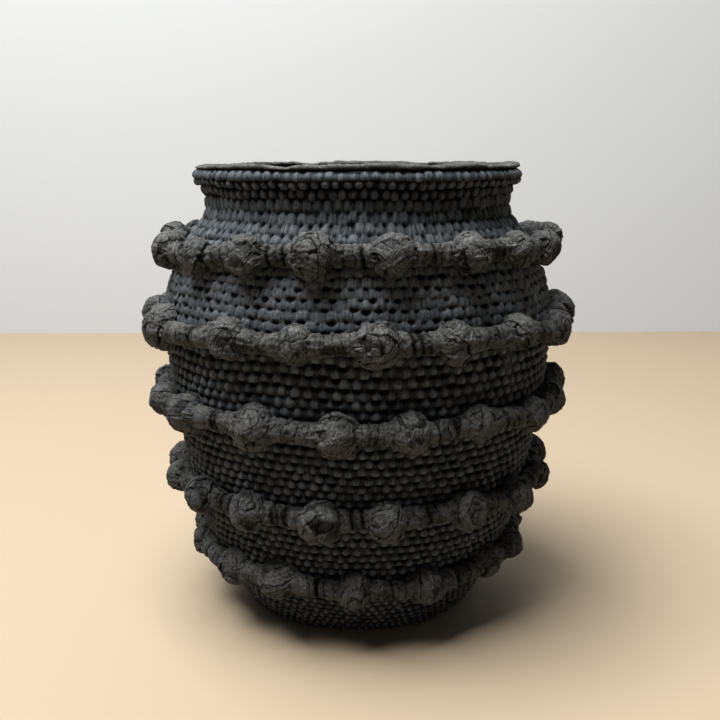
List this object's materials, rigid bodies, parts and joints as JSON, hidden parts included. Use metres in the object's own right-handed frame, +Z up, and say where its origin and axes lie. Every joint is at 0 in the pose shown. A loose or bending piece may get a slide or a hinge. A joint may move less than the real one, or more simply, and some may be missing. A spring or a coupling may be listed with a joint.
{
  "type": "clay pot",
  "caption": "Matt black rounded clay pot with a flared mouth, a woven-textured skin and horizontal knotted strands of wrapped balls and wound cord round its body.",
  "frame": {"origin": "middle of the pot's resting face", "axes": "+Z up out of the mouth; the side seen first faces -Y, +X to its right"},
  "size_m": [0.1778, 0.177, 0.182],
  "materials": {
    "smooth_clay": "matt black fired clay, smooth by hand, dusty grey-brown on the lip",
    "woven_clay": "matt bluish black clay with a woven relief, darker in its pits",
    "ball_clay": "matt black clay strips folded round a ball, dusty on top",
    "cord_clay": "matt black wound clay cord, dusty on top"
  },
  "bodies": {
    "root": {"base_slab": "smooth_clay", "clay_wall": "smooth_clay", "lip_ring": "smooth_clay", "strand_1_balls_back_left": "ball_clay", "strand_1_balls_back_right": "ball_clay", "strand_1_balls_front_left": "ball_clay", "strand_1_balls_front_right": "ball_clay", "strand_1_cords_back_left": "cord_clay", "strand_1_cords_back_right": "cord_clay", "strand_1_cords_front_left": "cord_clay", "strand_1_cords_front_right": "cord_clay", "strand_2_balls_back_left": "ball_clay", "strand_2_balls_back_right": "ball_clay", "strand_2_balls_front_left": "ball_clay", "strand_2_balls_front_right": "ball_clay", "strand_2_cords_back_left": "cord_clay", "strand_2_cords_back_right": "cord_clay", "strand_2_cords_front_left": "cord_clay", "strand_2_cords_front_right": "cord_clay", "strand_3_balls_back_left": "ball_clay", "strand_3_balls_back_right": "ball_clay", "strand_3_balls_front_left": "ball_clay", "strand_3_balls_front_right": "ball_clay", "strand_3_cords_back_left": "cord_clay", "strand_3_cords_back_right": "cord_clay", "strand_3_cords_front_left": "cord_clay", "strand_3_cords_front_right": "cord_clay", "strand_4_balls_back_left": "ball_clay", "strand_4_balls_back_right": "ball_clay", "strand_4_balls_front_left": "ball_clay", "strand_4_balls_front_right": "ball_clay", "strand_4_cords_back_left": "cord_clay", "strand_4_cords_back_right": "cord_clay", "strand_4_cords_front_left": "cord_clay", "strand_4_cords_front_right": "cord_clay", "strand_5_balls_back_left": "ball_clay", "strand_5_balls_back_right": "ball_clay", "strand_5_balls_front_left": "ball_clay", "strand_5_balls_front_right": "ball_clay", "strand_5_cords_back_left": "cord_clay", "strand_5_cords_back_right": "cord_clay", "strand_5_cords_front_left": "cord_clay", "strand_5_cords_front_right": "cord_clay", "woven_skin": "woven_clay"}
  },
  "joints": []
}
